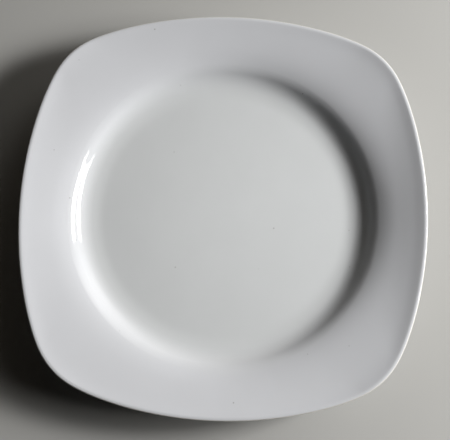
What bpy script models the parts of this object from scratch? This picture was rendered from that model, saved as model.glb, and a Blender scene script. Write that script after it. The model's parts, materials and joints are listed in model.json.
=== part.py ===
"""A square salad plate of glazed porcelain, with a round well and a wide rim.

The plate is a fired porcelain body under a coat of clear glass glaze. The bare edge of the foot ring,
wiped clean so that it doesn't stick in the kiln, parts the glaze into two skins: one over the face, the
lip and the back, and one inside the foot ring.

Units are metres, +Z is up, and the origin is the middle of the plane that the foot ring stands on.
Each piece is drawn as a half section, turned about Z, and eased from the round well out to the square plan.
"""

import math

import bmesh
import bpy
from mathutils import Matrix, Vector

# Plan of the finished plate: bulged sides and round corners, blended over a turn to each side of their joins
PLATE_WIDTH = 0.210
SIDE_RADIUS = 0.1960
CORNER_RADIUS = 0.0430
CORNER_LIFT = 0.0014
PLAN_BLEND = math.radians(8.0)

# Band of the rim where the round of the well eases into the square plan, measured in from the edge
BAND_START = 0.0236
BAND_END = 0.0020

# Half section of the finished face, outwards from its flat floor to its edge. A fillet is where its stretch
# starts. The dish is the floor's rising edge, and the crown is the nearly level top of the lip.
DISH_WIDTH = 0.0081
DISH_SLOPE = math.radians(9.75)
DISH_FILLET = 0.0380
WALL_WIDTH = 0.00485
WALL_SLOPE = math.radians(44.6)
WALL_FILLET = 0.0138
SHOULDER_WIDTH = 0.0062
SHOULDER_SLOPE = math.radians(27.3)
SHOULDER_FILLET = 0.0156
RIM_WIDTH = 0.01385
RIM_SLOPE = math.radians(19.7)
RIM_FILLET = 0.0680
LIP_WIDTH = 0.0040
LIP_SLOPE = math.radians(21.8)
LIP_FILLET = 0.1200
CROWN_WIDTH = 0.0015
CROWN_SLOPE = math.radians(-8.0)
CROWN_FILLET = 0.0028

# Outer edge of the lip, and the thickness of the plate inside it
EDGE_THICKNESS = 0.0028
EDGE_FILLET = 0.0008
UNDER_FILLET = 0.0014
BASE_THICKNESS = 0.0044

# Foot ring, whose width and edges are those of the bare porcelain
FOOT_RADIUS = 0.0570
FOOT_WIDTH = 0.0030
FOOT_HEIGHT = 0.0022
FOOT_DRAFT = math.radians(15.0)
FOOT_EDGE = 0.0007
FOOT_FILLET = 0.0010

# Glaze, with the clearance that keeps its solids apart from the body's
GLAZE_THICKNESS = 0.0003
GLAZE_GAP = 0.0001
GLAZE_LINE = 0.0010

# How finely round shapes are cut into flats
SPOKES = 64
CHORD_ERROR = 0.00008
BAND_STEP = 0.0050
BLEND_STEPS = 8
SHORTEST_EDGE = 0.0003
WELD_DISTANCE = 0.000001
SHARP_ANGLE = math.radians(35.0)

HALF_WIDTH = PLATE_WIDTH / 2
SKIN = GLAZE_GAP + GLAZE_THICKNESS
FLOOR_HEIGHT = FOOT_HEIGHT + BASE_THICKNESS
QUARTER_TURN = math.pi / 2
CORNER_WAY = Vector((1.0, 1.0)).normalized()


def clear_scene():
    for found in list(bpy.data.objects):
        bpy.data.objects.remove(found)


def left_normal(start, end):
    """The unit normal to the left of the way from start to end: out of the plate, on every section here."""
    way = (end - start).normalized()
    return Vector((-way.y, way.x))


def mitred(before, corner, after, distance):
    """The corner moved to the left so that both its edges move by this distance."""
    first = left_normal(before, corner)
    second = left_normal(corner, after)
    return corner + (first + second) * (distance / (1 + first.dot(second)))


def moved_line(points, distance):
    """The whole line moved to its left by this distance."""
    starting = points[0] + left_normal(points[0], points[1]) * distance
    ending = points[-1] + left_normal(points[-2], points[-1]) * distance
    between = zip(points, points[1:], points[2:])
    return [starting, *(mitred(*three, distance) for three in between), ending]


def arc_at(before, corner, after, reach):
    """Points of the arc that leaves one edge of a corner, and joins the other, at this reach from it."""
    back = (before - corner).normalized()
    onward = (after - corner).normalized()
    opening = back.angle(onward)
    radius = reach * math.tan(opening / 2)
    centre = corner + (back + onward).normalized() * math.hypot(reach, radius)
    spoke = corner + back * reach - centre
    turn = math.copysign(math.pi - opening, onward.cross(back))
    steps = math.ceil(abs(turn) / (2 * math.acos(max(0.0, 1 - CHORD_ERROR / radius))))
    return [centre + Matrix.Rotation(turn * step / steps, 2) @ spoke for step in range(steps + 1)]


def filleted(corners):
    """The line through (point, radius) corners, each rounded by an arc. Arcs on one edge share it."""
    points = [corner for corner, _ in corners]
    lengths = [(end - start).length for start, end in zip(points, points[1:])]
    wanted = [0.0] * len(points)
    for i in range(1, len(points) - 1):
        turn = left_normal(points[i - 1], points[i]).angle(left_normal(points[i], points[i + 1]))
        wanted[i] = corners[i][1] * math.tan(turn / 2)
    shares = [min(1.0, length / max(a + b, length)) for length, a, b in zip(lengths, wanted, wanted[1:])]
    line = [points[0]]
    for i in range(1, len(points) - 1):
        reach = wanted[i] * min(shares[i - 1], shares[i])
        arc = arc_at(points[i - 1], points[i], points[i + 1], reach)
        # Where two arcs take up nearly the whole of an edge, what is left of it is too short to keep.
        line += arc[1:] if (arc[0] - line[-1]).length < SHORTEST_EDGE else arc
    return [*line, points[-1]]


def divided(line):
    """The line with its long edges in the band cut up, so that they can follow the ease to the plan."""
    cut = [line[0]]
    for start, end in zip(line, line[1:]):
        in_band = max(start.x, end.x) > HALF_WIDTH - BAND_START
        pieces = math.ceil((end - start).length / BAND_STEP) if in_band else 1
        cut += [start.lerp(end, piece / pieces) for piece in range(1, pieces + 1)]
    return cut


def face_corners():
    """Corners of the finished face with their fillets, from the middle of the well to the edge."""
    stretches = [
        (DISH_WIDTH, DISH_SLOPE, DISH_FILLET),
        (WALL_WIDTH, WALL_SLOPE, WALL_FILLET),
        (SHOULDER_WIDTH, SHOULDER_SLOPE, SHOULDER_FILLET),
        (RIM_WIDTH, RIM_SLOPE, RIM_FILLET),
        (LIP_WIDTH, LIP_SLOPE, LIP_FILLET),
        (CROWN_WIDTH, CROWN_SLOPE, CROWN_FILLET),
    ]
    corner = Vector((HALF_WIDTH - sum(width for width, _, _ in stretches), FLOOR_HEIGHT))
    corners = [(Vector((0.0, FLOOR_HEIGHT)), 0.0)]
    for width, slope, fillet in stretches:
        corners.append((corner, fillet))
        corner = corner + Vector((width, width * math.tan(slope)))
    return [*corners, (corner, EDGE_FILLET)]


def back_corners(face):
    """Corners of the back, from the rim to under the dish: the face's, at the thickness of the base."""
    points = [point for point, _ in face]
    back = []
    for before, (corner, fillet), after in zip(points, face[1:], points[2:]):
        # A hollow fillet grows by the thickness, and a round one shrinks by it.
        hollow = (corner - before).cross(after - corner) > 0
        around = fillet + BASE_THICKNESS if hollow else fillet - BASE_THICKNESS
        back.append((mitred(before, corner, after, -BASE_THICKNESS), around))
    return back[::-1]


def upper_section():
    """Finished face, lip and back, down to the glaze line on the outside of the foot ring."""
    face = face_corners()
    *inner_face, _, edge = face
    corners = [
        *face,
        (edge[0] - Vector((0.0, EDGE_THICKNESS)), UNDER_FILLET),
        *back_corners(inner_face),
        (foot_wall(FOOT_HEIGHT, outside=True), FOOT_FILLET),
        (foot_wall(GLAZE_LINE, outside=True), 0.0),
    ]
    return divided(filleted(corners))


def base_section():
    """Finished recess inside the foot ring, from its glaze line to the middle."""
    corners = [
        (foot_wall(GLAZE_LINE, outside=False), 0.0),
        (foot_wall(FOOT_HEIGHT, outside=False), FOOT_FILLET),
        (Vector((0.0, FOOT_HEIGHT)), 0.0),
    ]
    return filleted(corners)


def foot_wall(height, outside, skin=SKIN):
    """A point of the foot ring's drafted wall, over a skin of glaze or on the bare porcelain."""
    half = FOOT_WIDTH / 2 + height * math.tan(FOOT_DRAFT) + skin / math.cos(FOOT_DRAFT)
    return Vector((FOOT_RADIUS + (half if outside else -half), height))


def body_section():
    """Bare porcelain: the finished section less the glaze, with the foot ring carried down to the table."""
    outside = moved_line(upper_section(), -SKIN)
    inside = moved_line(base_section(), -SKIN)
    foot = [
        (outside[-1], 0.0),
        (foot_wall(0.0, outside=True, skin=0.0), FOOT_EDGE),
        (foot_wall(0.0, outside=False, skin=0.0), FOOT_EDGE),
        (inside[0], 0.0),
    ]
    return outside[:-1] + filleted(foot) + inside[1:]


def glaze_section(finished):
    """A skin of glaze, between its finished face and its underside, from the axis out and back again."""
    underside = moved_line(finished, -GLAZE_THICKNESS)[::-1]
    return finished + underside if finished[0].x == 0 else underside + finished


def arc_shift(way):
    """How far the plan of plain arcs lies from the circle that touches its sides, where it faces this way."""
    angle = math.atan2(way.y, way.x)
    quarter = round(angle / QUARTER_TURN) * QUARTER_TURN
    side_offset = HALF_WIDTH - SIDE_RADIUS
    span = SIDE_RADIUS - CORNER_RADIUS
    corner_offset = (side_offset + math.sqrt(2 * span**2 - side_offset**2)) / 2
    if abs(angle - quarter) <= math.atan2(corner_offset, corner_offset - side_offset):
        centre = Vector((side_offset, 0.0))
        radius = SIDE_RADIUS
    else:
        centre = Vector((corner_offset, math.copysign(corner_offset, angle - quarter)))
        radius = CORNER_RADIUS
    return Matrix.Rotation(quarter, 2) @ centre + way * (radius - HALF_WIDTH)


def plan_shift(way):
    """The same with the arcs blended, by the mean over a small turn to both sides."""
    turns = [PLAN_BLEND * (2 * step / BLEND_STEPS - 1) for step in range(BLEND_STEPS + 1)]
    shift = Vector((0.0, 0.0))
    swell = 0.0
    for turn in turns:
        shift += Matrix.Rotation(-turn, 2) @ arc_shift(Matrix.Rotation(turn, 2) @ way) / len(turns)
        swell += (SIDE_RADIUS - HALF_WIDTH) * (1 - math.cos(turn)) / len(turns)
    # The mean swells the middles of the sides, so that is taken off again all round to keep the width.
    return shift - way * swell


def ease_to_plan(vertex, corner_reach):
    """Moves a turned vertex from its circle towards the square plan, and up towards the lifted corners."""
    flat = Vector(vertex.co.xy)
    share = (flat.length - HALF_WIDTH + BAND_START) / (BAND_START - BAND_END)
    if share <= 0:
        return
    share = min(share, 1.0)
    share *= share * (3 - 2 * share)
    way = flat.normalized()
    shift = plan_shift(way)
    vertex.co.xy = flat + shift * share
    vertex.co.z += CORNER_LIFT * share * shift.dot(way) / corner_reach


def turned_plate(name, section, material, parent):
    """A solid from a half section that starts and ends on the axis."""
    shape = bmesh.new()
    corners = [shape.verts.new((point.x, 0.0, point.y)) for point in section]
    edges = [shape.edges.new(pair) for pair in zip(corners, corners[1:])]
    bmesh.ops.spin(
        shape,
        geom=corners + edges,
        cent=(0.0, 0.0, 0.0),
        axis=(0.0, 0.0, 1.0),
        angle=2 * math.pi,
        steps=SPOKES,
        use_merge=True,
    )
    bmesh.ops.remove_doubles(shape, verts=shape.verts, dist=WELD_DISTANCE)
    corner_reach = plan_shift(CORNER_WAY).length
    for vertex in shape.verts:
        ease_to_plan(vertex, corner_reach)
    bmesh.ops.recalc_face_normals(shape, faces=shape.faces)
    mesh = bpy.data.meshes.new(name)
    shape.to_mesh(mesh)
    shape.free()
    mesh.shade_smooth()
    mesh.set_sharp_from_angle(angle=SHARP_ANGLE)
    mesh.materials.append(material)
    piece = bpy.data.objects.new(name, mesh)
    bpy.context.scene.collection.objects.link(piece)
    piece.parent = parent
    return piece


def ceramic(name, colour, roughness, ior):
    material = bpy.data.materials.new(name)
    material.use_nodes = True
    shader = material.node_tree.nodes["Principled BSDF"]
    shader.inputs["Base Color"].default_value = (*colour, 1.0)
    shader.inputs["Roughness"].default_value = roughness
    shader.inputs["Metallic"].default_value = 0.0
    shader.inputs["IOR"].default_value = ior
    return material


def main():
    clear_scene()
    plate = bpy.data.objects.new("plate", None)
    bpy.context.scene.collection.objects.link(plate)
    biscuit = ceramic("bare_porcelain", (0.68, 0.65, 0.60), roughness=0.75, ior=1.5)
    glaze = ceramic("white_glaze", (0.76, 0.77, 0.78), roughness=0.08, ior=1.52)
    turned_plate("porcelain_body", body_section(), biscuit, plate)
    turned_plate("glaze_coat", glaze_section(upper_section()), glaze, plate)
    turned_plate("base_glaze", glaze_section(base_section()), glaze, plate)


main()
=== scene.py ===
# %% [markdown]
# # A square salad plate of glazed porcelain
#
# The real plate is pressed from porcelain clay, fired, dipped in glaze and fired again. Its foot ring is
# wiped before the second firing, because glass would weld the plate to the kiln shelf. So the eye meets
# three things: a glossy skin over the face, the lip and the back, a second skin inside the foot ring, and
# a narrow ring of bare, matte porcelain between the two.
#
# The solids of those three come first. They have the right size and place, but they are cut into flats
# that a gloss would show. So each piece is made again, finer, exactly where its solid is, and stands for
# it.

# %% Load the plate's solids
import functools
import json
import math

import bmesh
import bpy
from mathutils import Matrix, Vector


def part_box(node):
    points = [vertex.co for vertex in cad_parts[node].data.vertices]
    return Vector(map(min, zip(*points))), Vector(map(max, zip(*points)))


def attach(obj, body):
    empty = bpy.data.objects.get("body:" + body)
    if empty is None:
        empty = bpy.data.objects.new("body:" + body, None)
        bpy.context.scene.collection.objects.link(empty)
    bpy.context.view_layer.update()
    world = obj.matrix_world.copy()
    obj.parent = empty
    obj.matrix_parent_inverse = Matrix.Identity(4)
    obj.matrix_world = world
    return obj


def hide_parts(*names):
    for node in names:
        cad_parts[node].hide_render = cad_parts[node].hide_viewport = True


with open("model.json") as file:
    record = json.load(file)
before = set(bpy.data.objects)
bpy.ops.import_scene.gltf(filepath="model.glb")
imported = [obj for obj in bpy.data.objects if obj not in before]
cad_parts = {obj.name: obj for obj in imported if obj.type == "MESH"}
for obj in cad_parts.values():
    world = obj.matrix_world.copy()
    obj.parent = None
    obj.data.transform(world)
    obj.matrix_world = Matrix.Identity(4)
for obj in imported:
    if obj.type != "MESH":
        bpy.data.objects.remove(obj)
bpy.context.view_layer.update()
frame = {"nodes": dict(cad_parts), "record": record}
print("solids:", ", ".join(sorted(frame["nodes"])))

# %% [markdown]
# ## Sizes
#
# What the solids can tell is measured on them: how far the plate reaches, how high the floor of its well
# lies and where its foot ring stands. The other sizes are the radii and slopes that a presser would cut
# into the mould. All are in millimetres here, times MM, because Blender works in metres.
#
# The face climbs in six stretches from the flat floor of the well: a dish that barely rises, the steep
# wall, the shoulder that turns it over, the rim, the lip that turns up a little more, and its nearly
# level crown. Each has a width, a slope and the radius where it starts.

# %% Sizes of the plate
MM = 0.001
rests = {mount["name"]: Vector(mount["pos_m"]) for mount in frame["record"]["mounts"]}
half_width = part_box("glaze_coat")[1].x
floor_height = rests["well_floor"].z
foot_radius = rests["foot_ring"].x

DISH_WIDTH, DISH_SLOPE, DISH_FILLET = 8.1 * MM, math.radians(9.75), 38.0 * MM
WALL_WIDTH, WALL_SLOPE, WALL_FILLET = 4.85 * MM, math.radians(44.6), 13.8 * MM
SHOULDER_WIDTH, SHOULDER_SLOPE, SHOULDER_FILLET = 6.2 * MM, math.radians(27.3), 15.6 * MM
RIM_WIDTH, RIM_SLOPE, RIM_FILLET = 13.85 * MM, math.radians(19.7), 68.0 * MM
LIP_WIDTH, LIP_SLOPE, LIP_FILLET = 4.0 * MM, math.radians(21.8), 120.0 * MM
CROWN_WIDTH, CROWN_SLOPE, CROWN_FILLET = 1.5 * MM, math.radians(-8.0), 2.8 * MM
EDGE_THICKNESS = 2.8 * MM
EDGE_FILLET = 0.8 * MM
UNDER_FILLET = 1.4 * MM
BASE_THICKNESS = 4.4 * MM
FOOT_WIDTH = 3.0 * MM
FOOT_DRAFT = math.radians(15.0)
FOOT_EDGE = 0.7 * MM
FOOT_FILLET = 1.0 * MM
GLAZE_THICKNESS = 0.3 * MM
GLAZE_GAP = 0.1 * MM
GLAZE_LINE = 1.0 * MM

skin = GLAZE_THICKNESS + GLAZE_GAP
base_height = floor_height - BASE_THICKNESS
print(f"plate {2 * half_width / MM:.1f} mm across, well floor {floor_height / MM:.1f} mm up")

# %% [markdown]
# ## The half section, as a list of corners
#
# A lathe shape is easiest to draw as half of its section. Pasting in a hundred points would work, but
# nobody could read or change them. A short list of corners, each with the radius that rounds it, says the
# same thing in the words of the mould: floor, dish, wall, shoulder, rim, lip, back, foot. The line runs
# so that the outside of the plate is always on its left.
#
# The back follows the face at the thickness of the clay, so its corners are the face's own, moved
# inwards. A parallel line keeps its arcs: a hollow one grows by the distance, and a round one shrinks.

# %% Helpers for corners
def inset(corners, depth):
    """The same line of (point, radius) corners, moved to its right by this depth: into the plate."""
    points = [point for point, _ in corners]
    ways = [(end - start).normalized() for start, end in zip(points, points[1:])]
    ways = [ways[0], *ways, ways[-1]]
    moved = []
    for (point, radius), before, after in zip(corners, ways, ways[1:]):
        across = Vector((before.y + after.y, -before.x - after.x)) / (1 + before.dot(after))
        hollow = before.angle_signed(after) < 0
        moved.append((point + across * depth, radius + (depth if hollow else -depth)))
    return moved


def foot_wall(height, side, cover=skin):
    """A point on the foot ring's slanting wall, outside (1) or inside (-1), under this much glaze."""
    half = FOOT_WIDTH / 2 + height * math.tan(FOOT_DRAFT) + cover / math.cos(FOOT_DRAFT)
    return Vector((foot_radius + side * half, height))


print(f"the foot ring is {2 * foot_wall(0.0, 1, cover=0.0).x / MM:.1f} mm across where it stands")

# %% Corners of the glazed face, back and base
stretches = [
    (DISH_WIDTH, DISH_SLOPE, DISH_FILLET),
    (WALL_WIDTH, WALL_SLOPE, WALL_FILLET),
    (SHOULDER_WIDTH, SHOULDER_SLOPE, SHOULDER_FILLET),
    (RIM_WIDTH, RIM_SLOPE, RIM_FILLET),
    (LIP_WIDTH, LIP_SLOPE, LIP_FILLET),
    (CROWN_WIDTH, CROWN_SLOPE, CROWN_FILLET),
]
floor_radius = half_width - sum(width for width, _, _ in stretches)
corner = Vector((floor_radius, floor_height))
face = [(Vector((0.0, floor_height)), 0.0)]
for width, slope, fillet in stretches:
    face.append((corner, fillet))
    corner = corner + Vector((width, width * math.tan(slope)))

# The back starts under the rim, so the lip, the crown and the edge have no corners of their own there.
rim_at = stretches.index((RIM_WIDTH, RIM_SLOPE, RIM_FILLET)) + 1
coat_corners = [
    *face,
    (corner, EDGE_FILLET),
    (corner - Vector((0.0, EDGE_THICKNESS)), UNDER_FILLET),
    *inset(face, BASE_THICKNESS)[rim_at:0:-1],
    (foot_wall(base_height, 1), FOOT_FILLET),
    (foot_wall(GLAZE_LINE, 1), 0.0),
]
base_corners = [
    (foot_wall(GLAZE_LINE, -1), 0.0),
    (foot_wall(base_height, -1), FOOT_FILLET),
    (Vector((0.0, base_height)), 0.0),
]
print(f"the floor ends {floor_radius / MM:.1f} mm out, and the edge is {corner.y / MM:.1f} mm up")

# %% [markdown]
# ## Drawing the section with one vertex
#
# bmesh can draw like a pen. A single vertex that is extruded leaves an edge behind it, and a single
# vertex that is spun leaves an arc. Both are cut into short steps. Smooth shading blends the normals of
# neighbouring faces, so a long face next to a tight curve would look swollen. Even steps keep flats flat.

# %% The pen
RUN_STEP = 1.6 * MM
TURN_STEP = math.radians(7.5)
WELD = 0.001 * MM


def run_to(shape, pen, place):
    """Draws a straight run, and returns its last vertex."""
    run = Vector((place.x, 0.0, place.y)) - pen.co
    steps = math.ceil(run.length / RUN_STEP)
    for _ in range(steps):
        pen = bmesh.ops.extrude_vert_indiv(shape, verts=[pen])["verts"][0]
        bmesh.ops.translate(shape, verts=[pen], vec=run / steps)
    return pen


def draw_section(shape, corners):
    """Draws a line through (point, radius) corners, with an arc at each of them."""
    points = [point for point, _ in corners]
    pen = shape.verts.new((points[0].x, 0.0, points[0].y))
    for before, (corner, radius), after in zip(points, corners[1:], points[2:]):
        back = (before - corner).normalized()
        onward = (after - corner).normalized()
        turn = (-back).angle_signed(onward)
        reach = radius * math.tan(abs(turn) / 2)
        pen = run_to(shape, pen, corner + back * reach)
        if reach < WELD:
            continue
        middle = corner + (back + onward).normalized() * math.hypot(reach, radius)
        arc = bmesh.ops.spin(
            shape,
            geom=[pen],
            cent=(middle.x, 0.0, middle.y),
            axis=(0.0, 1.0, 0.0),
            angle=turn,
            steps=math.ceil(abs(turn) * max(1 / TURN_STEP, radius / RUN_STEP)),
        )
        pen = arc["geom_last"][0]
    run_to(shape, pen, points[-1])


print(f"steps of {RUN_STEP / MM:.1f} mm, and of {math.degrees(TURN_STEP):.1f} degrees on tight arcs")

# %% [markdown]
# ## From a round well to a square rim
#
# Turning the section gives a round plate. The real one is round only in its well: across the rim it eases
# into a square with bulged sides and round corners. A square plate could be lofted from its outline
# instead, but then the round well would need an outline of its own, and the rim a blend between them.
#
# Here each turned vertex is moved. The plan is made of eight arcs, four sides and four corners. A vertex
# that faces a given way is moved by the difference between the plan and the circle at the arc that faces
# the same way, so that the spokes stay square to the edge. Where two arcs join, their curve would jump,
# and a gloss shows that as a faint line across the rim. So each shift is the mean over a small turn to
# both sides. That swells the middles of the sides a little, which is taken off again all round to keep
# the plate's width.
#
# The share of the move grows from nothing at the well to all of it at the lip along a smoothstep curve,
# which starts and ends without a crease. The corners also rise a little, as they do when a rim warps in
# the kiln.

# %% Ease to the square plan
SIDE_RADIUS = 196.0 * MM
CORNER_RADIUS = 43.0 * MM
CORNER_LIFT = 1.4 * MM
PLAN_BLEND = 8.0
BLEND_STEPS = 12
BLEND_TURNS = [
    math.radians(2 * PLAN_BLEND * step / BLEND_STEPS - PLAN_BLEND) for step in range(BLEND_STEPS + 1)
]
BAND_START = 23.6 * MM
BAND_END = 2.0 * MM
QUARTER_TURN = math.pi / 2
SPOKE_DIGITS = 5


def arc_shift(angle):
    """How far the plan of plain arcs lies from the circle inside it, where it faces this angle."""
    quarter = round(angle / QUARTER_TURN) * QUARTER_TURN
    side_offset = half_width - SIDE_RADIUS
    span = SIDE_RADIUS - CORNER_RADIUS
    corner_offset = (side_offset + math.sqrt(2 * span**2 - side_offset**2)) / 2
    if abs(angle - quarter) <= math.atan2(corner_offset, corner_offset - side_offset):
        centre, radius = Vector((side_offset, 0.0)), SIDE_RADIUS
    else:
        centre = Vector((corner_offset, math.copysign(corner_offset, angle - quarter)))
        radius = CORNER_RADIUS
    way = Vector((math.cos(angle), math.sin(angle)))
    return Matrix.Rotation(quarter, 2) @ centre + way * (radius - half_width)


@functools.cache
def plan_shift(angle):
    """The same with the arcs blended. A spoke's vertices share one angle, so it is worked out once."""
    shift = Vector((0.0, 0.0))
    for turn in BLEND_TURNS:
        swell = (SIDE_RADIUS - half_width) * (1 - math.cos(turn))
        way = Vector((math.cos(angle), math.sin(angle)))
        shift += (Matrix.Rotation(-turn, 2) @ arc_shift(angle + turn) - way * swell) / len(BLEND_TURNS)
    return shift


def ease_to_plan(vertex):
    """Moves a turned vertex towards the square plan, and up towards the lifted corners."""
    flat = Vector(vertex.co.xy)
    share = (flat.length - half_width + BAND_START) / (BAND_START - BAND_END)
    share = min(max(share, 0.0), 1.0)
    share *= share * (3 - 2 * share)
    if share > 0:
        shift = plan_shift(round(math.atan2(flat.y, flat.x), SPOKE_DIGITS))
        vertex.co.xy = flat + shift * share
        vertex.co.z += CORNER_LIFT * share * shift.dot(flat.normalized()) / corner_reach


corner_reach = plan_shift(QUARTER_TURN / 2).length
print(f"the corners reach {corner_reach / MM:.1f} mm further out than the sides")

# %% [markdown]
# ## The three pieces
#
# All three are turned and eased in the same way. The distance from the axis is kept on each vertex before
# the easing, as an attribute called turned_radius, because a finish that follows the lip has to follow it
# round the square corners too.
#
# The glaze is a skin. Its outside is turned as an open sheet and given its thickness inwards, and the two
# edges where it stops at the foot ring are bevelled, because melted glass draws up into a round bead
# there. The porcelain under it is a closed body, drawn along the same corners moved in by the glaze.

# %% Turn and ease
SPOKES = 240


def turned_shape(corners):
    """A section drawn, turned about the plate's axis and eased to the square plan."""
    shape = bmesh.new()
    draw_section(shape, corners)
    bmesh.ops.spin(
        shape,
        geom=shape.verts[:] + shape.edges[:],
        cent=(0.0, 0.0, 0.0),
        axis=(0.0, 0.0, 1.0),
        angle=2 * math.pi,
        steps=SPOKES,
        use_merge=True,
    )
    bmesh.ops.remove_doubles(shape, verts=shape.verts[:], dist=WELD)
    turned_radius = shape.verts.layers.float.new("turned_radius")
    for vertex in shape.verts:
        vertex[turned_radius] = vertex.co.xy.length
        ease_to_plan(vertex)
    bmesh.ops.recalc_face_normals(shape, faces=shape.faces[:])
    return shape


print("spokes round the plate:", SPOKES)

# %% Thicken a skin of glaze
BEAD = 0.12 * MM
BEAD_ANGLE = math.radians(60.0)
BEAD_SEGMENTS = 3


def thicken(shape, up):
    """Thickens an open skin of glaze and rounds its edges. up is the way that its middle faces."""
    middle = min(shape.faces, key=lambda found: found.calc_center_median().xy.length)
    if middle.normal.z * up < 0:
        bmesh.ops.reverse_faces(shape, faces=shape.faces[:])
    bmesh.ops.solidify(shape, geom=shape.faces[:], thickness=GLAZE_THICKNESS)
    bmesh.ops.recalc_face_normals(shape, faces=shape.faces[:])
    edges = [edge for edge in shape.edges if edge.calc_face_angle(0.0) > BEAD_ANGLE]
    bmesh.ops.bevel(
        shape,
        geom=edges,
        offset=BEAD,
        offset_type="OFFSET",
        segments=BEAD_SEGMENTS,
        profile=0.5,
        affect="EDGES",
        material=-1,
    )


print(f"glaze {GLAZE_THICKNESS / MM:.1f} mm thick, with a bead of {BEAD / MM:.2f} mm")


# %% Make a shape a piece of the plate
def finish_piece(shape, node, material):
    """Makes the shape an object that rides on the plate, stands for its solid and takes its finish."""
    mesh = bpy.data.meshes.new(f"{node}_fine")
    shape.to_mesh(mesh)
    shape.free()
    mesh.shade_smooth()
    mesh.materials.append(material)
    piece = bpy.data.objects.new(f"{node}_fine", mesh)
    bpy.context.scene.collection.objects.link(piece)
    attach(piece, "root")
    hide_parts(node)
    print(f"{piece.name}: {len(mesh.polygons)} faces")


# %% [markdown]
# ## Two finishes
#
# Colours are written as sRGB hex values, as an eye or a colour picker would give them, and one function
# turns them into the linear values that the shader works with. One more adds a node with its settings,
# its values and its links, so that a material reads as a list of what it is made of, from its patterns to
# its shader.

# %% Colour and node helpers
def linear(hex_colour):
    """An sRGB hex value as linear red, green, blue and alpha."""
    parts = [int(hex_colour[i : i + 2], 16) / 255 for i in (1, 3, 5)]
    parts = [part / 12.92 if part <= 0.04045 else ((part + 0.055) / 1.055) ** 2.4 for part in parts]
    return (*parts, 1.0)


def add_node(owner, kind, values=None, **settings):
    """Adds a node. values go to its sockets as numbers, colours or links, and the rest are settings."""
    tree = owner.node_tree
    node = tree.nodes.new(kind)
    for name, setting in settings.items():
        setattr(node, name, setting)
    for socket, value in (values or {}).items():
        if isinstance(value, bpy.types.NodeSocket):
            tree.links.new(value, node.inputs[socket])
        else:
            node.inputs[socket].default_value = value
    return node


def new_material(name):
    """A material with an empty node tree."""
    material = bpy.data.materials.new(name)
    material.use_nodes = True
    material.node_tree.nodes.clear()
    return material


# A Mix node has sockets for numbers, vectors and colours. These are the places of its colours.
UNDER, OVER = 6, 7
MIXED = 2
print("a middle grey in linear values:", [round(value, 3) for value in linear("#808080")[:3]])

# %% [markdown]
# ### Feldspar glaze
#
# Clear glass over white clay gives the eye three things at once: an even white from the clay, a sharp
# reflection from the glass on top of it, and small faults that say it was fired. The Principled shader's
# base and specular layers are just the first two, so no coat is needed.
#
# The faults are kept faint. Glass runs down to the well and lies thickest there, which turns the white a
# hint green. On the rim it is a hint blue, and over the sharp turn of the lip it is so thin that the
# warmer clay shows through. The dip leaves it a little cloudy, and a few specks of iron come up from the
# clay. The surface is not quite flat either: a long, low ripple bends the edges of a reflection.

# %% Glaze colour: the well, the rim and the thin lip
WELL_MIDDLE = 15.0 * MM
WALL_TOP = half_width - RIM_WIDTH - LIP_WIDTH - CROWN_WIDTH
THIN_WIDTH = 0.9 * MM

glaze = new_material("feldspar_glaze_on_porcelain")
place = add_node(glaze, "ShaderNodeTexCoord").outputs["Object"]
ring = add_node(glaze, "ShaderNodeAttribute", attribute_name="turned_radius").outputs["Fac"]

# The well's white is a shade lighter in its middle than towards the foot of its wall.
outwards = add_node(
    glaze,
    "ShaderNodeMapRange",
    {"Value": ring, "From Min": WELL_MIDDLE, "From Max": floor_radius},
    interpolation_type="SMOOTHSTEP",
).outputs["Result"]
well_white = add_node(
    glaze,
    "ShaderNodeMix",
    {"Factor": outwards, UNDER: linear("#E4E6E6"), OVER: linear("#DFE1E1")},
    data_type="RGBA",
).outputs[MIXED]
upwards = add_node(
    glaze,
    "ShaderNodeMapRange",
    {"Value": ring, "From Min": floor_radius, "From Max": WALL_TOP},
    interpolation_type="SMOOTHSTEP",
).outputs["Result"]
white = add_node(
    glaze,
    "ShaderNodeMix",
    {"Factor": upwards, UNDER: well_white, OVER: linear("#DEDFE2")},
    data_type="RGBA",
).outputs[MIXED]
thin = add_node(
    glaze,
    "ShaderNodeMapRange",
    {"Value": ring, "From Min": half_width - THIN_WIDTH, "From Max": half_width},
    interpolation_type="SMOOTHSTEP",
).outputs["Result"]
lipped = add_node(
    glaze,
    "ShaderNodeMix",
    {"Factor": thin, UNDER: white, OVER: linear("#DFDBD2")},
    data_type="RGBA",
).outputs[MIXED]
print(f"rim white from {WALL_TOP / MM:.1f} mm out, lip white in the last {THIN_WIDTH / MM:.1f} mm")

# %% Glaze colour: clouds and specks of iron
CLOUD_SIZE = 22.0 * MM
CLOUD_STRENGTH = 0.06
SPECK_SPACING = 12.0 * MM
SPECK_RADIUS = 0.5 * MM
SPECK_STRENGTH = 0.8

# A noise runs from 0 to 1, but nearly all of it lies between these two.
NOISE_LOW, NOISE_HIGH = 0.3, 0.7

cloud = add_node(
    glaze,
    "ShaderNodeTexNoise",
    {"Vector": place, "Scale": 1 / CLOUD_SIZE, "Detail": 3.0},
).outputs["Fac"]
haze = add_node(
    glaze,
    "ShaderNodeMapRange",
    {"Value": cloud, "From Min": NOISE_LOW, "From Max": NOISE_HIGH, "To Max": CLOUD_STRENGTH},
).outputs["Result"]
clouded = add_node(
    glaze,
    "ShaderNodeMix",
    {"Factor": haze, UNDER: lipped, OVER: linear("#B9BBBA")},
    data_type="RGBA",
).outputs[MIXED]
to_speck = add_node(
    glaze,
    "ShaderNodeTexVoronoi",
    {"Vector": place, "Scale": 1 / SPECK_SPACING},
).outputs["Distance"]
speck = add_node(
    glaze,
    "ShaderNodeMapRange",
    {
        "Value": to_speck,
        "From Min": SPECK_RADIUS / SPECK_SPACING,
        "From Max": 0.0,
        "To Max": SPECK_STRENGTH,
    },
).outputs["Result"]
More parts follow.
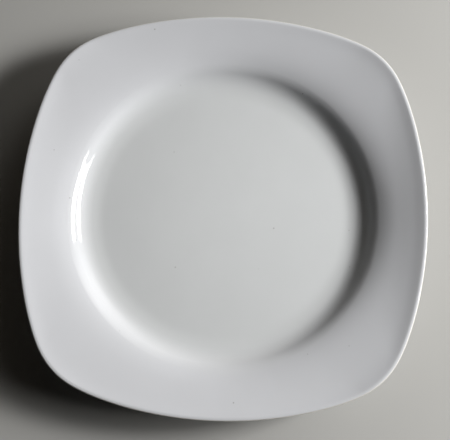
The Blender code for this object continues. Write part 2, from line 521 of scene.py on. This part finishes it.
glaze_colour = add_node(
    glaze,
    "ShaderNodeMix",
    {"Factor": speck, UNDER: clouded, OVER: linear("#6F6A62")},
    data_type="RGBA",
).outputs[MIXED]
print(f"clouds of {CLOUD_SIZE / MM:.0f} mm, specks about {SPECK_SPACING / MM:.0f} mm apart")

# %% Glaze gloss, ripple and shader
GLAZE_IOR = 1.52
LOW_ROUGHNESS, HIGH_ROUGHNESS = 0.035, 0.055
RIPPLE_SIZE = 9.0 * MM
RIPPLE_HEIGHT = 0.004 * MM
SMEAR_SIZE = 20.0 * MM

smear = add_node(
    glaze,
    "ShaderNodeTexNoise",
    {"Vector": place, "Scale": 1 / SMEAR_SIZE, "Detail": 4.0},
).outputs["Fac"]
gloss = add_node(
    glaze,
    "ShaderNodeMapRange",
    {
        "Value": smear,
        "From Min": NOISE_LOW,
        "From Max": NOISE_HIGH,
        "To Min": LOW_ROUGHNESS,
        "To Max": HIGH_ROUGHNESS,
    },
).outputs["Result"]
ripple = add_node(
    glaze,
    "ShaderNodeTexNoise",
    {"Vector": place, "Scale": 1 / RIPPLE_SIZE, "Detail": 1.0},
).outputs["Fac"]
rippled = add_node(
    glaze,
    "ShaderNodeBump",
    {"Height": ripple, "Distance": RIPPLE_HEIGHT, "Strength": 1.0},
).outputs["Normal"]
glass = add_node(
    glaze,
    "ShaderNodeBsdfPrincipled",
    {"Base Color": glaze_colour, "Roughness": gloss, "IOR": GLAZE_IOR, "Normal": rippled},
).outputs["BSDF"]
add_node(glaze, "ShaderNodeOutputMaterial", {"Surface": glass})
print("glaze:", len(glaze.node_tree.nodes), "nodes")

# %% [markdown]
# ### Bare porcelain
#
# Where the glaze was wiped off, porcelain is a dense, dry stone: warm white, matte, and rubbed to a fine
# tooth before the plate is packed. Its standing edge picks up grey from every shelf and table that it is
# slid over. The real grain is finer than a tenth of a millimetre and wouldn't show, so it is drawn
# coarser here.

# %% Bare porcelain colour: grain and rub marks
GRAIN_SIZE = 0.5 * MM
RUB_SIZE = 4.0 * MM
RUB_HEIGHT = 0.25 * MM

biscuit = new_material("bare_porcelain_biscuit")
place = add_node(biscuit, "ShaderNodeTexCoord").outputs["Object"]
grain = add_node(
    biscuit,
    "ShaderNodeTexNoise",
    {"Vector": place, "Scale": 1 / GRAIN_SIZE, "Detail": 3.0},
).outputs["Fac"]
stone = add_node(
    biscuit,
    "ShaderNodeMix",
    {"Factor": grain, UNDER: linear("#CFC9BD"), OVER: linear("#E0DBD0")},
    data_type="RGBA",
).outputs[MIXED]

# Grey rub marks come and go along the edge, and end where the wall starts to rise.
height = add_node(biscuit, "ShaderNodeSeparateXYZ", {"Vector": place}).outputs["Z"]
patches = add_node(
    biscuit,
    "ShaderNodeTexNoise",
    {"Vector": place, "Scale": 1 / RUB_SIZE, "Detail": 4.0},
).outputs["Fac"]
rubbed = add_node(
    biscuit,
    "ShaderNodeMapRange",
    {"Value": height, "From Min": RUB_HEIGHT, "From Max": 0.0, "To Max": patches},
).outputs["Result"]
biscuit_colour = add_node(
    biscuit,
    "ShaderNodeMix",
    {"Factor": rubbed, UNDER: stone, OVER: linear("#8F8B85")},
    data_type="RGBA",
).outputs[MIXED]
print(f"grain of {GRAIN_SIZE / MM:.1f} mm, rub marks of {RUB_SIZE / MM:.0f} mm")

# %% Bare porcelain tooth and shader
BISCUIT_IOR = 1.5
DRY_ROUGHNESS, RUBBED_ROUGHNESS = 0.78, 0.6
GRAIN_HEIGHT = 0.02 * MM

dryness = add_node(
    biscuit,
    "ShaderNodeMapRange",
    {"Value": rubbed, "To Min": DRY_ROUGHNESS, "To Max": RUBBED_ROUGHNESS},
).outputs["Result"]
tooth = add_node(
    biscuit,
    "ShaderNodeBump",
    {"Height": grain, "Distance": GRAIN_HEIGHT, "Strength": 1.0},
).outputs["Normal"]
fired_clay = add_node(
    biscuit,
    "ShaderNodeBsdfPrincipled",
    {"Base Color": biscuit_colour, "Roughness": dryness, "IOR": BISCUIT_IOR, "Normal": tooth},
).outputs["BSDF"]
add_node(biscuit, "ShaderNodeOutputMaterial", {"Surface": fired_clay})
print("biscuit:", len(biscuit.node_tree.nodes), "nodes")

# %% [markdown]
# ## Make the pieces
#
# With the tools laid out, each piece takes a few lines. The body's corners are those of the two skins,
# moved in by the glaze, with the bare edge of the foot ring between them.

# %% The glaze over the face, lip and back
coat = turned_shape(coat_corners)
thicken(coat, up=1)
finish_piece(coat, "glaze_coat", glaze)

# %% The glaze inside the foot ring
base = turned_shape(base_corners)
thicken(base, up=-1)
finish_piece(base, "base_glaze", glaze)

# %% The porcelain under both
foot_corners = [(foot_wall(0.0, side, cover=0.0), FOOT_EDGE) for side in (1, -1)]
body = turned_shape(inset(coat_corners, skin) + foot_corners + inset(base_corners, skin))
finish_piece(body, "porcelain_body", biscuit)

# %% [markdown]
# ## Stage
#
# The floor is a plain board in a pale, warm grey. It isn't part of the plate.
# Close to the plate it is lit as any surface is, so it takes the shadow and the fall of the light.
# Further out it fades into an even pale tone, as the paper sweep of a studio does. The lamps don't do
# that, because light for the backdrop would land on the plate too. The material does: Light Path tells it
# which rays come from an eye, a reflection or a pane of glass, and only those meet the even tone. Light
# that bounces off the floor onto the plate comes from the board itself.

# %% Floor
FLOOR_REACH = 6.0
FADE_START = 180.0 * MM
FADE_END = 380.0 * MM
BACKDROP = linear("#BDBCB8")


def seen(owner):
    """A socket that is 1 for rays from the camera, a mirror or glass, and 0 for other light."""
    path = add_node(owner, "ShaderNodeLightPath").outputs
    found = path["Is Camera Ray"]
    for name in ("Is Glossy Ray", "Is Transmission Ray"):
        either = add_node(owner, "ShaderNodeMath", {0: found, 1: path[name]}, operation="MAXIMUM")
        found = either.outputs["Value"]
    return found


board = new_material("matte_board")
card = add_node(
    board,
    "ShaderNodeBsdfPrincipled",
    {"Base Color": linear("#BBBAB6"), "Roughness": 0.9, "Specular IOR Level": 0.2},
).outputs["BSDF"]
sweep = add_node(board, "ShaderNodeEmission", {"Color": BACKDROP, "Strength": 1.0}).outputs["Emission"]
place = add_node(board, "ShaderNodeTexCoord").outputs["Object"]
away = add_node(board, "ShaderNodeVectorMath", {0: place}, operation="LENGTH").outputs["Value"]
fade = add_node(
    board,
    "ShaderNodeMapRange",
    {"Value": away, "From Min": FADE_START, "From Max": FADE_END, "To Max": seen(board)},
    interpolation_type="SMOOTHSTEP",
).outputs["Result"]
shown = add_node(board, "ShaderNodeMixShader", {0: fade, 1: card, 2: sweep}).outputs["Shader"]
add_node(board, "ShaderNodeOutputMaterial", {"Surface": shown})

ground = bmesh.new()
bmesh.ops.create_grid(ground, size=FLOOR_REACH)
floor_mesh = bpy.data.meshes.new("floor")
ground.to_mesh(floor_mesh)
ground.free()
floor_mesh.materials.append(board)
floor = bpy.data.objects.new("floor", floor_mesh)
bpy.context.scene.collection.objects.link(floor)
print("floor:", 2 * FLOOR_REACH, "m across")

# %% [markdown]
# ## Light
#
# Studio lamps are easiest to think of by where they stand: a bearing round the plate, a height above the
# table, a distance, and how bright a white card would look if it faced the lamp. The power that Blender
# wants follows from the last two.
#
# One softbox low on the right does nearly all the work. It is hotter near its middle, where its bulb
# sits, so a second, smaller lamp within its outline adds that. Beyond one end of it, a faint strip
# stands a little higher. The wall of the well is hollow at its foot and round at its top, so a gloss
# shows each lamp twice there, once in each curve. The higher the lamp is, the further apart the two lie,
# so the strip splits the end of the highlight like a fork.
#
# A gloss shows the shape of every lamp, and the edges of a softbox are sharp. The soft glow to the side
# of the highlight comes from a lamp behind a honeycomb grid: a grid lets light through only straight
# ahead, so in a mirror the lamp fades out towards its edges. A wide, far panel fills in.

# %% Lamps
PLATE_MIDDLE = Vector((0.0, 0.0, 12.0 * MM))
WARM = "#FFF1DC"


def softbox(name, bearing, height, distance, size, level, spread=180.0, tint="#FFFFFF"):
    """A lamp that faces the plate. Angles are in degrees, and level 1 makes a white card white."""
    lamp = bpy.data.lights.new(name, "AREA")
    lamp.shape = "RECTANGLE"
    lamp.size, lamp.size_y = size
    lamp.energy = level * (math.pi * distance) ** 2
    lamp.spread = math.radians(spread)
    lamp.color = linear(tint)[:3]
    turn = Matrix.Rotation(math.radians(bearing), 3, "Z") @ Matrix.Rotation(math.radians(-height), 3, "Y")
    way = turn @ Vector((1.0, 0.0, 0.0))
    box = bpy.data.objects.new(name, lamp)
    box.location = PLATE_MIDDLE + way * distance
    box.rotation_euler = way.to_track_quat("Z", "Y").to_euler()
    bpy.context.scene.collection.objects.link(box)


softbox("key_softbox", bearing=6.5, height=28.1, distance=0.88, size=(0.456, 0.19), level=0.66)
softbox("key_core", bearing=10.0, height=28.1, distance=0.88, size=(0.2, 0.174), level=0.74)
softbox("key_strip", bearing=-10.4, height=33.2, distance=0.88, size=(0.1, 0.12), level=0.035)
softbox("side_grid", bearing=43.0, height=27.0, distance=1.0, size=(0.9, 0.8), level=0.025, spread=45.0)
softbox("far_panel", bearing=75.0, height=27.0, distance=1.4, size=(2.0, 0.9), level=0.062, tint=WARM)
print("lamps:", len(bpy.data.lights))

# %% [markdown]
# The room beyond the lamps is nearly dark, which keeps the shadow deep. To an eye or a mirror it is the
# sweep again: pale where it meets the floor, and dimmer the higher it goes.

# %% Room
ROOM_GLOW = 0.002
SWEEP_TOP = 0.3

studio = bpy.data.worlds.new("studio")
studio.use_nodes = True
studio.node_tree.nodes.clear()
ray = add_node(studio, "ShaderNodeTexCoord").outputs["Generated"]
rise = add_node(studio, "ShaderNodeSeparateXYZ", {"Vector": ray}).outputs["Z"]
climb = add_node(
    studio,
    "ShaderNodeMapRange",
    {"Value": rise, "From Max": SWEEP_TOP},
    interpolation_type="SMOOTHSTEP",
).outputs["Result"]
dimming = add_node(
    studio,
    "ShaderNodeMix",
    {"Factor": climb, UNDER: BACKDROP, OVER: linear("#5B5B5A")},
    data_type="RGBA",
).outputs[MIXED]
wall = add_node(studio, "ShaderNodeBackground", {"Color": dimming, "Strength": 1.0}).outputs["Background"]
glow = add_node(
    studio,
    "ShaderNodeBackground",
    {"Color": linear(WARM), "Strength": ROOM_GLOW},
).outputs["Background"]
room = add_node(studio, "ShaderNodeMixShader", {0: seen(studio), 1: glow, 2: wall}).outputs["Shader"]
add_node(studio, "ShaderNodeOutputWorld", {"Surface": room})
bpy.context.scene.world = studio
bpy.context.scene.view_settings.view_transform = "Standard"
print("room:", len(studio.node_tree.nodes), "nodes")

# %% [markdown]
# ## Camera
#
# The picture is taken from almost straight above, leaning back by a few degrees, with the plate turned a
# little in the frame.

# %% Camera
LENS = 59.6
CAMERA_PLACE = Vector((8.69, -61.15, 399.11)) * MM
CAMERA_TURN = [math.radians(turn) for turn in (8.543, 0.825, 1.826)]

eye = bpy.data.cameras.new("camera")
eye.lens = LENS
eye.clip_start = 10.0 * MM
camera = bpy.data.objects.new("camera", eye)
camera.location = CAMERA_PLACE
camera.rotation_euler = CAMERA_TURN
bpy.context.scene.collection.objects.link(camera)
bpy.context.scene.camera = camera
print("camera:", tuple(round(value, 3) for value in camera.location))
